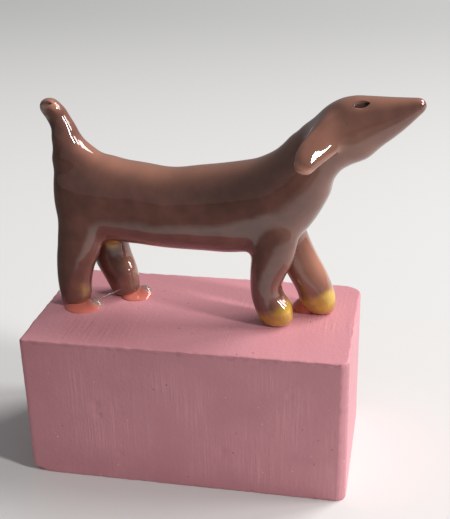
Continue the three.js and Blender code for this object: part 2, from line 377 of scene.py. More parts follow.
DRAWN_OUT = (  # ahead, out and above on both sides, reach, push outwards, and whether it is on the ear
    (36.4, 15.0, 54.4, 4.2, 1.8, True),  # fullest part of the ear
    (35.0, 5.5, 61.5, 3.2, 1.0, False),  # behind its upper edge, which melts into the skull
)
EAR_EDGE_BLUR = 6  # rounds that soften where an ear begins
points = np.array([v.co for v in skin.verts])
normals = np.array([v.normal for v in skin.verts])
on_ear = np.isin(nearest_two[:, :1], ears).astype(float)
for _ in range(EAR_EDGE_BLUR):
    on_ear = neighbour_mean(on_ear, ends)


def thumb(points, place, reach, stretch):
    """How much of a press at a place each point takes."""
    offset = (points - np.array(on_dog(*place))) @ np.array(dog_axes)
    away = np.linalg.norm(offset / np.array((1, stretch, 1)), axis=1)
    return falloff(away, reach)[:, None]


for *place, thumb_reach, stretch, push in THUMBS:
    points += push * normals * thumb(points, place, thumb_reach, stretch)
for ahead, out, above, thumb_reach, push, at_an_ear in DRAWN_OUT:
    share = on_ear if at_an_ear else 1 - on_ear
    for side in (RIGHT, LEFT):
        drawn = push * share * thumb(points, (ahead, side * out, above), thumb_reach, 1)
        points += drawn * np.array(dog_axes @ Vector((0, side, 0)))
lay_on(skin, points)
print("Thumb presses:", len(THUMBS) + 2 * len(DRAWN_OUT))

# %% [markdown]
# ## Tool marks
# Each eye is a single almond-shaped dent, pressed into the wet brow with a wooden tool, which raised a
# small lip around it. The tip of the tail was nipped over, which left a fold below a little knob. The
# squares of the skin are too coarse for such marks, so the skin is first divided more finely around
# them, and each mark then moves points along the surface's own normal.

# %% Divide the skin finely around the tool marks
EYE_PLACE = (49.6, 4.0, 69.6)  # ahead, out and above, for the left eye
TAIL_FOLD_PLACE = (-46.1, -2.8, 65.2)
FINE_RADII = (4.2, 3.78)  # the squares are halved within the first, and again within the second
FINE_SMOOTHING, FINE_EASE = 40, 0.5  # rounds that round off the small squares, and how far each goes
FINE_CORE = 0.7  # share of the radius that is smoothed in full


def divide_around(skin, place):
    """Halves the squares near a place twice, so that a mark with small detail fits on them."""
    for radius in FINE_RADII:
        near = [f for f in skin.faces if (f.calc_center_median() - place).length < radius]
        edges = list({edge for face in near for edge in face.edges})
        bmesh.ops.subdivide_edges(skin, edges=edges, cuts=1, use_grid_fill=True)


ahead, out, above = EYE_PLACE
eye_places = [on_dog(ahead, side * out, above) for side in (RIGHT, LEFT)]
fold_place = on_dog(*TAIL_FOLD_PLACE)
for place in (*eye_places, fold_place):
    divide_around(skin, place)
bmesh.ops.triangulate(skin, faces=[face for face in skin.faces if len(face.verts) > 4])
skin.verts.index_update()
ends = np.array([[v.index for v in edge.verts] for edge in skin.edges])
points = np.array([v.co for v in skin.verts])
for place in (*eye_places, fold_place):
    near = fade(FINE_RADII[0], FINE_RADII[0] * FINE_CORE, away_from(place, points))
    for _ in range(FINE_SMOOTHING):
        points += FINE_EASE * near[:, None] * (neighbour_mean(points, ends) - points)
lay_on(skin, points)
print("Points in the skin now:", len(skin.verts))


# %% Press the eyes and fold the tail's tip
EYE_DENT = {"length": 5.0, "height": 2.9, "depth": 0.9, "lip": 0.04}
TAIL_FOLD = {"length": 5.0, "height": 2.8, "depth": 0.32, "lip": 0.0}
EYE_RISE = math.radians(22)  # the eye slants up towards the nose
TOOL_TILT = 0.25  # the tool went deeper at the front by this share
DENT_LIP_WIDTH = 0.45


def press(points, skin_tree, place, along, length, height, depth, lip):
    """Presses an almond-shaped dent into the skin at a place, with a raised lip round it."""
    middle, out, _, _ = skin_tree.find_nearest(place)
    along = (along - out * along.dot(out)).normalized()
    across = out.cross(along)
    offset = points - np.array(middle)
    u = offset @ np.array(along) / (length / 2)
    v = offset @ np.array(across)
    lid = np.maximum(height / 2 * (1 - u * u), 0)
    inside = fade(0, 1, 1 - np.abs(v) / np.maximum(lid, 1e-6))
    tilt = 1 + TOOL_TILT * np.clip(u, -1, 1)
    beyond = np.hypot(np.maximum(np.abs(v) - lid, 0), np.maximum(np.abs(u) - 1, 0) * length / 2)
    shift = lip * falloff(beyond, DENT_LIP_WIDTH) - depth * tilt * inside
    near = np.abs(offset @ np.array(out)) < length
    points += np.outer(shift * near, np.array(out))


skin_tree = BVHTree.FromBMesh(skin)
eye_line = dog_axes @ Vector((math.cos(EYE_RISE), 0, math.sin(EYE_RISE)))
fold_line = dog_axes @ Vector((1, 0, 0))
for place in eye_places:
    press(points, skin_tree, place, eye_line, **EYE_DENT)
press(points, skin_tree, fold_place, fold_line, **TAIL_FOLD)
lay_on(skin, points)
print("Pressed the eyes and folded the tip of the tail.")

# %% [markdown]
# ## What the glaze knows about the clay
# Melted glaze runs off sharp edges and gathers in hollows, so it is thin and pale on the one and thick
# and dark in the other. The paws were dipped in an ochre glaze, which fades upwards into the chestnut.
# Both follow the form, so they are measured on the whole skin and kept as numbers on its points, where the
# material can read them. The pale colour of thin glaze is also laid on as painted light, on what faces up
# and on spots that face the windows, and a pale patch on the tail's tip is a painted reflection.

# %% Measure where the glaze is thin, where light is painted on, and where it pools
THIN_FROM, THIN_TO = 0.28, 0.85  # bend of the surface per mm, at which the glaze runs thin
POOL_FROM, POOL_TO = 0.04, -0.35
BEND_SMOOTHING = 12
NOSE_PLACE = (66, 0, 69)
EVEN_REACH, EVEN_CORE = 3.2, 0.7  # round the eyes and the nose the glaze stays even
TOP_FROM, TOP_TO, GLAZE_LIT_TOP_SHARE = 0.3, 0.95, 0.6  # painted light: what faces up is painted in the pale colour of thin glaze

spread = points - neighbour_mean(points, ends)
normals = np.array([v.normal for v in skin.verts])
mean_square = neighbour_mean(points**2, ends).sum(1) - 2 * (points * neighbour_mean(points, ends)).sum(1)
mean_square += (points**2).sum(1)  # mean squared length of the edges at each point
bend = 4 * (spread * normals).sum(1) / mean_square
for _ in range(BEND_SMOOTHING):
    bend = neighbour_mean(bend[:, None], ends)[:, 0]
pool = fade(POOL_FROM, POOL_TO, bend)
even = np.min([away_from(place, points) for place in (*eye_places, on_dog(*NOSE_PLACE))], axis=0)
thin_glaze_and_painted_light = fade(THIN_FROM, THIN_TO, bend) * fade(EVEN_REACH * EVEN_CORE, EVEN_REACH, even)
# painted light: surfaces that face up are made paler
thin_glaze_and_painted_light = np.maximum(thin_glaze_and_painted_light, GLAZE_LIT_TOP_SHARE * fade(TOP_FROM, TOP_TO, normals[:, 2]) * (1 - pool))
print(f"Thin glaze on {thin_glaze_and_painted_light.mean():.0%} of the skin, pooled on {pool.mean():.0%}.")

# %% Measure where the glaze is ochre, where the soles are pale, and where light is painted
PAW_DIPS = (  # toe's place ahead of the dog's middle, foreleg, height of the dip at the toe
    (31.6, "foreleg_right", 8.2),
    (43.0, "foreleg_left", 9.5),
)
DIP_SLANT = 0.4  # the dip's edge drops this much per mm towards the heel
DIP_ABOVE, DIP_BELOW = 4.0, 5.5  # the ochre fades out over this stretch of the edge
LEG_GAP = 1.5  # skin nearer than this to a leg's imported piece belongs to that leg
OCHRE_AND_PAINTED_LIGHT_SPOTS = (  # ahead, left and above, reach, strength
    (-36.3, -7.9, 6.0, 3.5, 0.28),
    (-22.9, 3.3, 6.4, 3.5, 0.35),
    # painted light: a pale ochre glow under the belly, on the top of the left hind leg
    (-28.8, 0.9, 19.3, 2.4, 0.9),
)
# painted light: where the windows light the dog, the pale colour of thin glaze is laid on
PAINTED_LIGHT_SPOTS = (
    (37.3, 5.0, 16.0, 8.0, 0.9),  # front of the left foreleg
    (-22.5, 1.5, 12.0, 4.0, 0.9),  # knee of the left hind leg
    (44.0, -8.0, 60.0, 11.0, 0.45),  # sides of the head
    (44.0, 8.0, 60.0, 11.0, 0.45),
)
PAINTED_GLARE_SPOTS = (  # painted reflection: a pale patch on the flat facet below the tail's fold
    (-46.9, -2.6, 63.0, 1.5, 0.9),
    (-46.0, -2.6, 60.9, 1.3, 0.9),
)
FOOT_LINE = (1.1, 0.3)  # the soles are pale from this height down
FOOT_LINE_SHARE = 0.7

in_dog = (points - np.array([0, DOG_SETBACK, BLOCK_TOP])) @ np.array(dog_axes)
ahead, left, above = in_dog.T


def spots_on(values, spots):
    """Values raised to the strength of each spot at its middle, and less with the distance from it."""
    for *middle, spot_reach, strength in spots:
        values = np.maximum(values, strength * falloff(away_from(middle, in_dog), spot_reach))
    return values


ochre = np.zeros(len(points))
for toe, leg, dip in PAW_DIPS:
    slope = above + DIP_SLANT * np.maximum(toe - ahead, 0)
    leg_tree = clay_trees[CLAY.index(leg)]
    on_leg = fade(2 * LEG_GAP, LEG_GAP, np.array([distance(leg_tree, Vector(p)) for p in points]))
    ochre = np.maximum(ochre, on_leg * fade(dip + DIP_ABOVE, dip - DIP_BELOW, slope))
ochre = spots_on(ochre, OCHRE_AND_PAINTED_LIGHT_SPOTS)
# painted light from the windows, laid on as spots
thin_glaze_and_painted_light = spots_on(thin_glaze_and_painted_light, PAINTED_LIGHT_SPOTS)
# the pale soles, with a painted reflection laid on the tail's tip as spots
pale_soles_and_painted_glare = spots_on(FOOT_LINE_SHARE * fade(*FOOT_LINE, above), PAINTED_GLARE_SPOTS)
for label, values in (("thin_glaze_and_painted_light", thin_glaze_and_painted_light), ("pool", pool), ("ochre", ochre), ("pale_soles_and_painted_glare", pale_soles_and_painted_glare)):
    layer = skin.verts.layers.float.new(label)
    for vertex, value in zip(skin.verts, values):
        vertex[layer] = value
print(f"Ochre on {ochre.mean():.0%} of the skin, bare clay on {pale_soles_and_painted_glare.mean():.1%}.")

# %% [markdown]
# ## Small helpers for materials
# A colour is written as the hex value a paint program shows, in sRGB, and one function turns it into
# the linear values that the renderer adds up. Another adds a node, sets what is given, links the
# sockets that are passed to it, and hands back an output, so a material reads from top to bottom. The
# others are steps that come up in each finish: mottling of a given size, values spread out to shares,
# scattered dots, and one colour laid over another.


# %% Colours and nodes
def linear(colour):
    """An sRGB hex colour as linear red, green, blue and alpha."""
    channels = [int(colour[i : i + 2], 16) / 255 for i in (1, 3, 5)]
    return [c / 12.92 if c <= 0.04045 else ((c + 0.055) / 1.055) ** 2.4 for c in channels] + [1.0]


def add(tree, kind, inputs=None, out=None, **settings):
    """Adds a node with its settings, gives inputs a value or a link, and returns one of its outputs."""
    made = tree.nodes.new("ShaderNode" + kind)
    for name, value in settings.items():
        setattr(made, name, value)
    sockets = {socket.name: socket for socket in reversed(made.inputs)}
    sockets.update({socket.identifier: socket for socket in made.inputs})
    for name, value in (inputs or {}).items():
        if isinstance(value, bpy.types.NodeSocket):
            tree.links.new(value, sockets[name])
        else:
            sockets[name].default_value = value
    return made.outputs[out] if out else next((o for o in made.outputs if o.enabled), None)


def mottling(tree, place, size, detail):
    """Smooth noise between 0 and 1 that changes over a size, with this many finer layers."""
    return add(tree, "TexNoise", {"Vector": place, "Scale": 1 / size, "Detail": detail})


def ramp(tree, value, first, last, low=0.0, high=1.0, **settings):
    """Goes from low to high while a value goes from first to last."""
    inputs = {"Value": value, "From Min": first, "From Max": last, "To Min": low, "To Max": high}
    return add(tree, "MapRange", inputs, **settings)


def dots(tree, place, spacing, radius, strength):
    """Scattered dots with soft edges, and a colour drawn by lot for each."""
    cells = add(tree, "TexVoronoi", {"Vector": place, "Scale": 1 / spacing})
    edge = radius / spacing
    return ramp(tree, cells, edge, 2 * edge, strength, 0.0), cells.node.outputs["Color"]


def mix(tree, share, under, over):
    """A colour with a share of another laid over it."""
    inputs = {"Factor_Float": share, "A_Color": under, "B_Color": over}
    return add(tree, "Mix", inputs, data_type="RGBA")


def new_material(name):
    """A material with an empty node tree, and that tree."""
    material = bpy.data.materials.new(name)
    material.use_nodes = True
    material.node_tree.nodes.clear()
    return material, material.node_tree


print("Mid grey in linear values:", round(linear("#808080")[0], 3))

# %% [markdown]
# ## Chestnut glaze on fired clay
# A glaze is a thin coat of coloured glass. It gives the eye two things: a soft brown from within, a
# little uneven where the coat is thick or thin, and a sharp mirror image of the room on top. A smooth
# surface with the refractive index of glass over a brown base shows both. The coat is never quite flat,
# so reflections wobble at the scale of a few millimetres, and gas has left some pinholes.

# %% Colour of the chestnut glaze
CHESTNUT_DARK = "#694338"
CHESTNUT = "#805347"
CHESTNUT_THIN_AND_LIT = "#B47C66"
CHESTNUT_POOL = "#4E2F28"
OCHRE = "#D2A63E"
OCHRE_DEEP = "#A07733"
PALE_SOLE_AND_GLARE = "#D9C6B5"  # pale soles, and a painted reflection on the tail's tip
CLOUD = 22 * MM  # size of the broad changes in the coat
MOTTLE = 5 * MM
CHESTNUT_SPREAD = (0.75, 1.25)  # sum of the two that gives the dark and the full chestnut

chestnut_glaze, tree = new_material("Chestnut glaze, fired glossy")
place = add(tree, "TexCoord", out="Object")
thin_glaze_and_painted_light, pool, ochre, pale_soles_and_painted_glare = (
    add(tree, "Attribute", out="Fac", attribute_name=label) for label in ("thin_glaze_and_painted_light", "pool", "ochre", "pale_soles_and_painted_glare")
)
cloud = mottling(tree, place, CLOUD, 2.0)
mottle = mottling(tree, place, MOTTLE, 5.0)
uneven = add(tree, "Math", {"Value": cloud, "Value_001": mottle}, operation="ADD")
colour = mix(tree, ramp(tree, uneven, *CHESTNUT_SPREAD), linear(CHESTNUT_DARK), linear(CHESTNUT))
# the pale colour of thin glaze on sharp edges, and painted light on what faces up and on spots that face
# the windows
colour = mix(tree, thin_glaze_and_painted_light, colour, linear(CHESTNUT_THIN_AND_LIT))
colour = mix(tree, pool, colour, linear(CHESTNUT_POOL))
print("Mottling of the glaze:", MOTTLE / MM, "mm")

# %% Ochre on the paws, pale soles, a painted reflection, and pinholes
OCHRE_SPREAD = (0.8, 1.2)  # unevenness that gives the deep and the full ochre
DIP_RAGGED = 0.7  # how much the mottling frays the ochre's edge
DIP_EDGE = (0.45, 1.1)  # where the frayed ochre begins and where it covers
PINHOLE_SPACING = 6 * MM
PINHOLE_RADIUS, PINHOLE_STRENGTH = 0.11 * MM, 0.8

dip_colour = mix(tree, ramp(tree, uneven, *OCHRE_SPREAD), linear(OCHRE_DEEP), linear(OCHRE))
inputs = {"Value": mottle, "Value_001": DIP_RAGGED, "Value_002": ochre}
ragged = add(tree, "Math", inputs, operation="MULTIPLY_ADD")
dipped = ramp(tree, ragged, *DIP_EDGE, interpolation_type="SMOOTHSTEP")
pinhole, _ = dots(tree, place, PINHOLE_SPACING, PINHOLE_RADIUS, PINHOLE_STRENGTH)
colour = mix(tree, dipped, colour, dip_colour)
# pale soles, and a painted reflection on the tail's tip
colour = mix(tree, pale_soles_and_painted_glare, colour, linear(PALE_SOLE_AND_GLARE))
colour = mix(tree, pinhole, colour, linear(CHESTNUT_POOL))
print("Pinholes are", 2 * PINHOLE_RADIUS / MM, "mm wide.")

# %% Gloss of the glaze
GLAZE_WAVE = 5 * MM
GLAZE_WAVE_HEIGHT = 0.09 * MM
GLAZE_IOR = 1.6  # glazes lie between 1.5 and 1.65
GLAZE_ROUGHNESS = 0.05
GLAZE_COAT, COAT_ROUGHNESS = 0.45, 0.03  # share of the second, clear coat over the coloured one

wave = mottling(tree, place, GLAZE_WAVE, 1.0)
wavy = add(tree, "Bump", {"Height": wave, "Distance": GLAZE_WAVE_HEIGHT})
inputs = {
    "Base Color": colour, "Roughness": GLAZE_ROUGHNESS, "IOR": GLAZE_IOR, "Normal": wavy,
    "Coat Weight": GLAZE_COAT, "Coat Roughness": COAT_ROUGHNESS, "Coat Normal": wavy,
}
add(tree, "OutputMaterial", {"Surface": add(tree, "BsdfPrincipled", inputs)})
print("Nodes in the glaze:", len(tree.nodes))

# %% [markdown]
# ## Cutting the skin back into the maker's pieces
# The dog now goes back to its nine pieces. Each keeps its own patch of skin, and the cut is closed with
# faces inside the join, so every piece is a solid. The shading normals are taken from the uncut skin, so
# no seam shows where two pieces meet, as none shows under the real glaze.


# %% Cut the skin into closed pieces
def show(piece, name, slot, material, *nodes):
    """Makes a piece of the object from a mesh in mm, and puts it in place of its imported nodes."""
    bmesh.ops.scale(piece, vec=Vector((MM, MM, MM)), verts=piece.verts)
    mesh = bpy.data.meshes.new(name)
    piece.to_mesh(mesh)
    mesh.shade_smooth()
    mesh.materials.append(material)
    shown = put(name, mesh)
    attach(shown, "root")
    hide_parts(*nodes)
    return shown


slot_of = {part["node"]: part["material_slot"] for part in frame["record"]["subparts"]}
uncut_normal = skin.verts.layers.float_vector.new("uncut_normal")
for vertex in skin.verts:
    vertex[uncut_normal] = vertex.normal


def rim_beside(edge):
    return [other for vertex in edge.verts for other in vertex.link_edges if other.is_boundary]


def close_rims(piece):
    """Closes each open rim of a piece with a fan of faces round a point inside the join."""
    for rim in islands_of([edge for edge in piece.edges if edge.is_boundary], rim_beside):
        corners = {vertex for edge in rim for vertex in edge.verts}
        middle = piece.verts.new(sum((vertex.co for vertex in corners), Vector()) / len(corners))
        for edge in rim:
            corner = edge.link_loops[0]
            piece.faces.new((corner.link_loop_next.vert, corner.vert, middle))


for number, node in enumerate(CLAY):
    piece = skin.copy()
    piece_of = piece.faces.layers.int["clay_piece"]
    others = [face for face in piece.faces if face[piece_of] != number]
    bmesh.ops.delete(piece, geom=others, context="FACES")
    close_rims(piece)
    open_edges = sum(not edge.is_manifold for edge in piece.edges)
    uncut_normal = piece.verts.layers.float_vector["uncut_normal"]
    normals = [vertex[uncut_normal].copy() for vertex in piece.verts]
    shown = show(piece, "glazed_" + node, slot_of[node], chestnut_glaze, node)
    shown.data.normals_split_custom_set_from_vertices(normals)
    print(f"{shown.name}: {len(shown.data.polygons)} faces, {open_edges} open edges")

# %% [markdown]
# ## The block
# The plinth is an offcut of timber with its edges rubbed round by hand, more on one corner than on the
# next, and a ragged ridge of paint along the top. A bevel modifier rounds all edges alike. Here a fine
# grid over the six faces is bent instead: first the four upright corners, each to its own radius, then
# the top and bottom edges, with a radius that wanders along the edge.

# %% Lay a grid over the six faces of the block
block_low, block_high = (np.array(corner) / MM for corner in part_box("plinth"))
BLOCK_SIZE = block_high - block_low
EDGE_ZONE = 5.0  # where the grid is fine enough for a rounded edge
FINE_STEP, WIDE_STEP = 0.36, 0.8


def steps(size):
    """Places along an edge from end to end: close together near the ends and wider between."""
    end = np.arange(0, EDGE_ZONE, FINE_STEP)
    count = round((size - 2 * EDGE_ZONE) / WIDE_STEP) + 1
    return np.concatenate([end, np.linspace(EDGE_ZONE, size - EDGE_ZONE, count), size - end[::-1]])


block = bmesh.new()
for axis in range(3):
    across, along = (axis + 1) % 3, (axis + 2) % 3
    for level in (0, BLOCK_SIZE[axis]):
        grid = []
        for a in steps(BLOCK_SIZE[across]):
            row = []
            for b in steps(BLOCK_SIZE[along]):
                place = np.zeros(3)
                place[[axis, across, along]] = level, a, b
                row.append(block.verts.new(place + block_low))
            grid.append(row)
        for i in range(len(grid) - 1):
            for j in range(len(grid[0]) - 1):
                block.faces.new((grid[i][j], grid[i + 1][j], grid[i + 1][j + 1], grid[i][j + 1]))
bmesh.ops.remove_doubles(block, verts=block.verts, dist=WELD)
bmesh.ops.recalc_face_normals(block, faces=block.faces)
print("Faces on the block:", len(block.faces))

# %% Rub the edges of the block round
CORNERS = {  # by the signs of x and y: radius, and 2 for round down to 1 for a flat bevel
    (1, -1): (2.4, 1.25),
    (1, 1): (6.0, 2.0),
    (-1, -1): (1.2, 2.0),
    (-1, 1): (2.0, 2.0),
}
TOP_EDGE, BOTTOM_EDGE = 0.9, 0.8
WORN_CORNER, WORN_REACH, WORN_EDGE = (-50.0, -26.5, 0.0), 3.0, 3.4  # the corner that was knocked round
EDGE_WANDER = ((3.2, 0.5), (1.4, 0.35))  # length of the waves along an edge, and share of the radius
CORNER_WANDER = ((6.0, 0.25), (1.5, 0.18))


def noise_at(points, length):
    """Smooth random values between about -1 and 1, that change over a length."""
    return np.array([noise.noise(Vector(p) / length) for p in points])


points = np.array([v.co for v in block.verts])
flat = points.copy()
half = BLOCK_SIZE[:2] / 2
side = np.sign(points[:, :2])
radius, shape = np.zeros(len(points)), np.full(len(points), 2.0)
for (x, y), corner in CORNERS.items():
    here = (side[:, 0] == x) & (side[:, 1] == y)
    radius[here], shape[here] = corner
radius *= 1 + sum(share * noise_at(points * (0, 0, 1), length) for length, share in CORNER_WANDER)
inner = half - radius[:, None]
over = np.maximum(np.abs(points[:, :2]) - inner, 0)
reach = (over ** shape[:, None]).sum(1) ** (1 / shape)
rounder = np.divide(over.max(1), reach, out=np.ones(len(points)), where=over.min(1) > 0)
points[:, :2] = side * (np.minimum(np.abs(points[:, :2]), inner) + over * rounder[:, None])

beyond = np.abs(points[:, :2]) - inner
corner = np.maximum(beyond, 0)
inset = radius - np.hypot(*corner.T) - np.minimum(beyond.max(1), 0)
outward = np.where((beyond.min(1) > 0)[:, None], corner, beyond == beyond.max(1)[:, None])
outward = side * outward / np.maximum(np.linalg.norm(outward, axis=1), 1e-9)[:, None]
wander = 1 + sum(share * noise_at(points, length) for length, share in EDGE_WANDER)
worn = WORN_EDGE * falloff(away_from(WORN_CORNER, points), WORN_REACH)
for edge, level, up in ((TOP_EDGE, block_high[2], 1), (BOTTOM_EDGE, block_low[2], -1)):
    size = edge * wander + worn
    a = np.maximum(size - inset, 0)
    b = np.maximum(size - np.abs(level - points[:, 2]), 0)
    rounder = np.divide(np.maximum(a, b), np.hypot(a, b), out=np.ones(len(a)), where=np.minimum(a, b) > 0)
    points[:, :2] += outward * (a * (rounder - 1))[:, None]
    points[:, 2] += up * b * (rounder - 1)
print("The edges moved by up to", round(np.abs(points - flat).max(), 1), "mm.")

# %% Dents and a slightly uneven face
UNEVEN = ((14.0, 0.07), (4.0, 0.03))  # length and depth of the waves in the sanded faces
DENTS = (  # along the front, above the table, radius, depth
    (-27.2, 26.7, 1.1, 0.35),
    (-26.6, 23.1, 0.9, 0.45),
    (33.0, 36.0, 0.8, 0.3),
    (-20.5, 9.5, 0.7, 0.3),
    (12.0, 14.0, 1.4, 0.18),
)
LIP_HEIGHT, LIP_DEPTH, LIP_STEP = 0.9, 0.3, 0.3  # the top's paint hangs over the front as a ragged lip
LIP_WANDER = ((5.0, 0.4), (1.8, 0.5))  # length of the lip's waves, and their height
FRONT_FROM, UNDER_FROM, FACING = -0.6, -0.5, -0.95  # how far a normal turns to the front or down

lay_on(block, points)
block_normals = np.array([v.normal for v in block.verts])
dip = sum(depth * (1 + noise_at(points, length)) / 2 for length, depth in UNEVEN)
on_front = fade(FRONT_FROM, FACING, block_normals[:, 1])
along_front = points * (1, 0, 0)
lip = LIP_HEIGHT + sum(height * noise_at(along_front, length) for length, height in LIP_WANDER)
dip += on_front * LIP_DEPTH * fade(lip, lip + LIP_STEP, block_high[2] - points[:, 2])
for x, z, size, depth in DENTS:
    gap = np.hypot(points[:, 0] - x, points[:, 2] - z)
    dip += on_front * depth * falloff(gap, size)
standing = fade(UNDER_FROM, FACING, block_normals[:, 2])  # the underside stays flat
points -= block_normals * (dip * (1 - standing))[:, None]
lay_on(block, points)
print("Deepest dent:", round(dip.max(), 2), "mm")

# %% [markdown]
# ## Pink paint brushed on wood
# The block wears a thick acrylic paint, dry to a soft sheen. The brush left fine ridges, upright on the
# sides and front to back on the top, and the paint is a little lighter on the ridges. Stretched noise
# draws such ridges: it changes quickly across the brush and slowly along it. The level faces, the top and
# the underside, are painted a lighter pink, as painted light on the top. Dust and small bubbles left
# specks and pits.

# %% Ridges of the brush
PAINT = "#CF8D95"
PAINT_THICK = "#DA9EA3"
PAINT_THIN = "#C4828B"
BRISTLE = 0.7 * MM  # spacing of the ridges
STROKE = 16 * MM  # how far a ridge runs
BLOTCH = 18 * MM
LEVEL_FACE = (0.6, 0.8)  # how far a normal points up or down where a side turns level
PATCH_SPREAD, PATCH_LEAST = (0.45, 0.7), 0.1  # the ridges come and go in patches, but never quite go
NOISE_MIDDLE = 0.5

pink_paint, tree = new_material("Acrylic paint, brushed on wood")
place = add(tree, "TexCoord", out="Object")
upright = (1 / BRISTLE, 1 / BRISTLE, 1 / STROKE)
endwise = (1 / BRISTLE, 1 / STROKE, 1 / BRISTLE)
ridges = []
for stretch in (upright, endwise):
    stretched = add(tree, "Mapping", {"Vector": place, "Scale": stretch}, vector_type="POINT")
    ridges.append(mottling(tree, stretched, 1.0, 3.0))
facing = add(tree, "SeparateXYZ", {"Vector": add(tree, "NewGeometry", out="Normal")}, out="Z")
facing = add(tree, "Math", {"Value": facing}, operation="ABSOLUTE")
level_face = ramp(tree, facing, *LEVEL_FACE)
inputs = {"Factor_Float": level_face, "A_Float": ridges[0], "B_Float": ridges[1]}
ridge = add(tree, "Mix", inputs, data_type="FLOAT")
patch = ramp(tree, mottling(tree, place, BLOTCH, 2.0), *PATCH_SPREAD, PATCH_LEAST)
ridge = add(tree, "Math", {"Value": ridge, "Value_001": NOISE_MIDDLE}, operation="SUBTRACT")
ridge = add(tree, "Math", {"Value": ridge, "Value_001": patch}, operation="MULTIPLY")
print("Brush ridges every", BRISTLE / MM, "mm")

# %% Colour, specks and sheen of the paint
# painted light: the level faces, the top and the underside, are a lighter pink
PAINT_LIT_TOP, PAINT_LIT_TOP_SHARE = "#E79EA6", 0.75
PAINT_IOR, PAINT_ROUGHNESS = 1.49, 0.42  # acrylic, dried to a soft sheen
BLOTCH_SPREAD = (0.3, 0.7)  # mottling that gives the thin and the full paint
RIDGE_THICK, THICK_SHARE = 0.25, 0.6  # a ridge this strong is lighter by this share
SPECK_SPACING = 5 * MM
SPECK_RADIUS, SPECK_STRENGTH = 0.2 * MM, 0.5
SPECK_DARK, SPECK_PALE = "#8E5560", "#EBC3C4"  # grit, and bubbles that burst
PALE_LOT = (0.4, 0.5)  # a speck whose lot is higher is a pale one
RIDGE_HEIGHT = 0.16 * MM
ORANGE_PEEL, PEEL_SHARE = 1.1 * MM, 0.5

blotch = ramp(tree, mottling(tree, place, BLOTCH, 4.0), *BLOTCH_SPREAD)
painted_light_on_top = add(tree, "Math", {"Value": level_face, "Value_001": PAINT_LIT_TOP_SHARE}, operation="MULTIPLY")
thick = ramp(tree, ridge, 0.0, RIDGE_THICK, high=THICK_SHARE)
speck, lot = dots(tree, place, SPECK_SPACING, SPECK_RADIUS, SPECK_STRENGTH)
pale = ramp(tree, add(tree, "SeparateColor", {"Color": lot}), *PALE_LOT)
colour = mix(tree, blotch, linear(PAINT_THIN), linear(PAINT))
# painted light on the level faces
colour = mix(tree, painted_light_on_top, colour, linear(PAINT_LIT_TOP))
colour = mix(tree, thick, colour, linear(PAINT_THICK))
colour = mix(tree, speck, colour, mix(tree, pale, linear(SPECK_DARK), linear(SPECK_PALE)))
peel = mottling(tree, place, ORANGE_PEEL, 2.0)
inputs = {"Value": peel, "Value_001": PEEL_SHARE, "Value_002": ridge}
height = add(tree, "Math", inputs, operation="MULTIPLY_ADD")
height = add(tree, "Math", {"Value": height, "Value_001": speck}, operation="SUBTRACT")
brushed = add(tree, "Bump", {"Height": height, "Distance": RIDGE_HEIGHT})
inputs = {"Base Color": colour, "Roughness": PAINT_ROUGHNESS, "IOR": PAINT_IOR, "Normal": brushed}
add(tree, "OutputMaterial", {"Surface": add(tree, "BsdfPrincipled", inputs)})
painted_block = show(block, "painted_block", slot_of["plinth"], pink_paint, "plinth")
print(painted_block.name, "has", len(painted_block.data.polygons), "faces.")

# %% [markdown]
# ## Beads of clear glue
# Three feet stand in drops of clear glue. A drop spreads as a low film round the foot, swells to a mound
# on one side, and creeps up the clay that it wets, so a plain half sphere looks wrong. Each drop is a
# round grid whose height adds up these three. The foot reaches down into it, as in the real one, and
# light passes through the mound to the foot and the paint, so each point keeps how clear it is.

# %% Form the beads
BEAD_RINGS, BEAD_SIDES = 26, 72
BEAD_FULLNESS = 2.1  # 2 is a plain dome, and more makes the wall steeper and the top flatter
BEAD_SINK = 0.08  # the drop reaches this far into the paint, so that no air shows under it
FILM_HEIGHT = 0.9
FILM_CLIMB, FILM_WIDTH = 0.4, 0.7  # up the clay, and how far from it that dies away
FILM_EDGE = 6  # the higher, the closer to the drop's edge the climb ends
OUTLINE_WANDER, OUTLINE_WAVES = 0.06, 1.3  # share of the radius, and how often it changes
MOUNDS = {  # ahead and left on the dog, reach, clearness
    "glue_bead_hind_right": (-32.8, -6.0, 2.9, 1.0),
    "glue_bead_hind_left": (-20.0, 6.8, 3.0, 1.0),
    "glue_bead_fore_left": (32.8, 5.6, 5.5, 0.0),
}

skin_tree = BVHTree.FromBMesh(skin)


def join_rings(mesh, rings):
    """Joins rings of points with faces one after the other, and closes the first and the last."""
    for ring, after in zip(rings, rings[1:]):
        for k in range(len(ring)):
            mesh.faces.new((ring[k - 1], after[k - 1], after[k], ring[k]))
    mesh.faces.new(rings[0])
    mesh.faces.new(rings[-1][::-1])


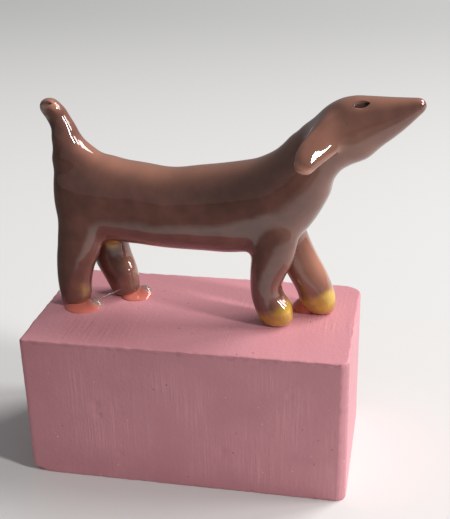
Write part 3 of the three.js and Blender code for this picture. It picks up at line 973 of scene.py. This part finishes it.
def bead_of(node):
    """A drop of glue in the place of a packed bead, as a closed mesh in mm."""
    low, high = (np.array(corner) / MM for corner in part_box(node))
    middle, size = (low + high) / 2, (high - low) / 2
    ahead, left, mound_reach, clearness = MOUNDS[node]
    mound_middle = on_dog(ahead, left, 0)
    mound_height = high[2] - BLOCK_TOP - FILM_HEIGHT
    bead = bmesh.new()
    clear = bead.verts.layers.float.new("clear")

    def ring_of(share):
        ring = []
        for k in range(BEAD_SIDES):
            angle = 2 * math.pi * k / BEAD_SIDES
            way = Vector((math.cos(angle), math.sin(angle), 0))
            wander = 1 - OUTLINE_WANDER * (1 + noise.noise(way * OUTLINE_WAVES + Vector(middle)))
            x = middle[0] + size[0] * share * wander * way.x
            y = middle[1] + size[1] * share * wander * way.y
            off = math.hypot(x - mound_middle.x, y - mound_middle.y)
            mound = falloff(off, mound_reach)
            dome = max(1 - share**BEAD_FULLNESS, 0) ** (1 / BEAD_FULLNESS)
            level = BLOCK_TOP + dome * (FILM_HEIGHT + mound_height * mound)
            away = skin_tree.find_nearest(Vector((x, y, level)))[3]
            film = FILM_CLIMB * math.exp(-away / FILM_WIDTH) * (1 - share**FILM_EDGE)
            point = bead.verts.new((x, y, level + film))
            point[clear] = clearness * mound
            ring.append(point)
        return ring

    rings = [ring_of(math.sin(math.pi / 2 * k / BEAD_RINGS)) for k in range(1, BEAD_RINGS + 1)]
    rings.append([bead.verts.new(v.co - Vector((0, 0, BEAD_SINK))) for v in rings[-1]])
    join_rings(bead, rings)
    return bead


beads = {node: bead_of(node) for node in slot_of if node.startswith("glue_bead")}
print("Beads formed:", ", ".join(beads))

# %% [markdown]
# ## A hair of glue
# As the glue gun was drawn away it pulled a hair from the one hind bead to the other foot. It is a thin
# round thread, swept along a curve that hangs a little, and it belongs to the bead it came from.

# %% Draw the hair of glue
HAIR_RADIUS = 0.14
HAIR_SIDES = 8
HAIR_ENDS = (on_dog(-32.3, -5.0, 2.1), on_dog(-23.6, 1.5, 5.0))
HAIR_MIDDLE = on_dog(-28.3, 0.1, 2.7)
HAIR_STEPS = 24


def hair_into(bead):
    """Adds the thread to a bead's mesh."""
    clear = bead.verts.layers.float["clear"]
    start, end = HAIR_ENDS
    pull = HAIR_MIDDLE * 2 - (start + end) / 2  # makes the curve pass through its middle place
    rings = []
    for k in range(HAIR_STEPS + 1):
        t = k / HAIR_STEPS
        place = start * (1 - t) ** 2 + pull * 2 * t * (1 - t) + end * t**2
        along = (pull - start) * (1 - t) + (end - pull) * t
        turn = along.to_track_quat("Z", "Y").to_matrix()
        circle = [2 * math.pi * side / HAIR_SIDES for side in range(HAIR_SIDES)]
        spokes = [turn @ Vector((math.cos(a), math.sin(a), 0)) * HAIR_RADIUS for a in circle]
        rings.append([bead.verts.new(place + spoke) for spoke in spokes])
        for point in rings[-1]:
            point[clear] = 1.0
    join_rings(bead, rings)


hair_into(beads["glue_bead_hind_right"])
print(f"The hair spans {(HAIR_ENDS[1] - HAIR_ENDS[0]).length:.1f} mm.")

# %% [markdown]
# ## Clear hot glue
# Hot glue sets as a clear plastic with a wet gloss. Light that goes into the low film is thrown about
# between the clay and the pink paint and comes out again coral, while the mound stays clear as glass. So
# the material refracts where a point is clear, and where it is not it turns towards a coral body colour, a
# painted glow that stands for that light. A slow ripple keeps the highlights from looking turned on a
# lathe.

# %% Clear hot glue, set wet and glossy
GLUE_TINT = "#F0D2C6"
GLUE_PAINTED_GLOW = "#EC8472"
CLEAR_FROM, CLEAR_TO = 0.3, 0.75
FILM_LETS_THROUGH, MOUND_LETS_THROUGH = 0.15, 0.7  # share of the light
GLUE_IOR, GLUE_ROUGHNESS = 1.49, 0.04
GLUE_RIPPLE = 2.5 * MM
GLUE_RIPPLE_HEIGHT = 0.06 * MM

clear_glue, tree = new_material("Clear hot glue, set glossy")
place = add(tree, "TexCoord", out="Object")
ripple = mottling(tree, place, GLUE_RIPPLE, 1.0)
rippled = add(tree, "Bump", {"Height": ripple, "Distance": GLUE_RIPPLE_HEIGHT})
clear = add(tree, "Attribute", out="Fac", attribute_name="clear")
clear = ramp(tree, clear, CLEAR_FROM, CLEAR_TO, interpolation_type="SMOOTHSTEP")
# painted glow: coral body colour where the glue is not clear
colour = mix(tree, clear, linear(GLUE_PAINTED_GLOW), linear(GLUE_TINT))
see_through = ramp(tree, clear, 0.0, 1.0, FILM_LETS_THROUGH, MOUND_LETS_THROUGH)
inputs = {
    "Base Color": colour, "Roughness": GLUE_ROUGHNESS, "IOR": GLUE_IOR,
    "Transmission Weight": see_through, "Normal": rippled,
}
add(tree, "OutputMaterial", {"Surface": add(tree, "BsdfPrincipled", inputs)})
for node, bead in beads.items():
    bmesh.ops.recalc_face_normals(bead, faces=bead.faces)
    shown = show(bead, "clear_" + node, slot_of[node], clear_glue, node)
    print(shown.name, "has", len(shown.data.polygons), "faces.")

# %% [markdown]
# ## A pale floor
# The figure stands on a plain pale surface that catches its shadow, and that is marked as stage, not as a
# piece. The real table ends a hand's breadth in front of the block and to its left, and the dog's gloss
# shows that: a pale band low on its side under a dim room, and a dark rump. So painted shade turns the
# floor a dim grey there, outside the picture, to stand for the dim room. Far behind, near the windows,
# painted shade makes it dimmer too, so as not to turn white.

# %% Floor
FLOOR_HALF = 6.0  # metres
FLOOR, FLOOR_ROUGHNESS = "#E8E6E3", 0.7
# painted shade: dim greys for the dim room beyond the table, and a dimmer floor far behind
FLOOR_PAINTED_SHADES = (  # colour, way across the floor, and where it begins and is full that way, in metres
    ("#8F8E8C", (0, 1, 0), -0.15, -0.27),
    ("#5C5B5A", (0.91, 0.42, 0), -0.07, -0.13),
    ("#C2C1BF", (0, 1, 0), 0.1, 0.9),
)
pale_floor, tree = new_material("Pale matt board")
place = add(tree, "TexCoord", out="Object")
colour = linear(FLOOR)
for other, way, first, last in FLOOR_PAINTED_SHADES:
    inputs = {"Vector": place, "Vector_001": way}
    across = add(tree, "VectorMath", inputs, out="Value", operation="DOT_PRODUCT")
    share = ramp(tree, across, first, last, interpolation_type="SMOOTHSTEP")
    colour = mix(tree, share, colour, linear(other))
surface = add(tree, "BsdfPrincipled", {"Base Color": colour, "Roughness": FLOOR_ROUGHNESS})
add(tree, "OutputMaterial", {"Surface": surface})
floor_mesh = bpy.data.meshes.new("floor")
corners = [(x * FLOOR_HALF, y * FLOOR_HALF, 0) for x, y in ((-1, -1), (1, -1), (1, 1), (-1, 1))]
floor_mesh.from_pydata(corners, [], [(0, 1, 2, 3)])
floor_mesh.materials.append(pale_floor)
floor = put("floor", floor_mesh)
floor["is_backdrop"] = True
print("Floor laid.")

# %% [markdown]
# ## Light
# The figure stands by a narrow window ahead of its nose, and by a wide one of two panes beyond its far
# shoulder. The shadows on the table and on the block give their directions. Each pane is an area lamp,
# because a gloss coat mirrors the lamp's own shape: they give the pairs of white streaks on the tail and
# the paws. The rest of the room is an even, dim grey world that fills the shade.

# %% Windows and an even room
LAMPS = {  # degrees from +X towards +Y, degrees above the floor, width and height in metres, watts
    "narrow_window": (-19, 28, 0.4, 1.2, 86),
    "wide_window_near_pane": (12, 33, 0.9, 1.7, 62),
    "wide_window_far_pane": (40, 41, 1.5, 2.0, 98),
}
LAMP_DISTANCE = 4.0
AIM_HEIGHT = 0.072
ROOM_LIGHT = "#7C7E80"

aim = Vector((0, 0, AIM_HEIGHT))
for name, (azimuth, elevation, width, height, watts) in LAMPS.items():
    turn, rise = math.radians(azimuth), math.radians(elevation)
    way = Vector((math.cos(turn) * math.cos(rise), math.sin(turn) * math.cos(rise), math.sin(rise)))
    light = bpy.data.lights.new(name, "AREA")
    light.shape = "RECTANGLE"
    light.size, light.size_y = width, height
    light.energy = watts
    lamp = put(name, light)
    lamp.location = aim + way * LAMP_DISTANCE
    lamp.rotation_euler = way.to_track_quat("Z", "Y").to_euler()

world = bpy.data.worlds.new("Even room")
world.use_nodes = True
world.node_tree.nodes.clear()
room = add(world.node_tree, "Background", {"Color": linear(ROOM_LIGHT)})
add(world.node_tree, "OutputWorld", {"Surface": room})
bpy.context.scene.world = world
bpy.context.scene.view_settings.view_transform = "Standard"
print("Lamps:", ", ".join(LAMPS))

# %% [markdown]
# ## Camera
# The photograph was taken from above the dog's right shoulder. Its place and angles were worked out from
# the edges of the block, whose sizes are known. The lens is given for a 36 mm sensor along the longer,
# upright side of the picture.

# %% Camera at the photograph's angle
CAMERA_PLACE = Vector((64.15, -265.90, 186.95))
YAW, PITCH, ROLL = (math.radians(angle) for angle in (-11.687, 23.90, -1.373))
PICTURE_HEIGHT = 519  # pixels
FOCAL_PIXELS = 964.14
SENSOR = 36.0

forward = Vector((math.sin(YAW) * math.cos(PITCH), math.cos(YAW) * math.cos(PITCH), -math.sin(PITCH)))
level = Vector((math.cos(YAW), -math.sin(YAW), 0))
upward = level.cross(forward)
right = level * math.cos(ROLL) + upward * math.sin(ROLL)
upward = upward * math.cos(ROLL) - level * math.sin(ROLL)
lens = bpy.data.cameras.new("camera")
lens.sensor_width = SENSOR
lens.lens = FOCAL_PIXELS / PICTURE_HEIGHT * SENSOR
lens.clip_start, lens.clip_end = 0.01, 50
camera = put("camera", lens)
axes = Matrix((right, upward, -forward)).transposed().to_4x4()
camera.matrix_world = Matrix.Translation(CAMERA_PLACE * MM) @ axes
bpy.context.scene.camera = camera
print(f"Lens: {lens.lens:.1f} mm")

# %% [markdown]
# ## Size
# The box of the imported model and the box of what is shown are printed side by side, so that they can be
# compared.

# %% Print the boxes and finish
visual_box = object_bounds()
boxes = {"cad": [list(corner) for corner in cad_box], "visual": [list(corner) for corner in visual_box]}
print("Boxes in mm:", {k: [[round(c / MM, 2) for c in corner] for corner in v] for k, v in boxes.items()})
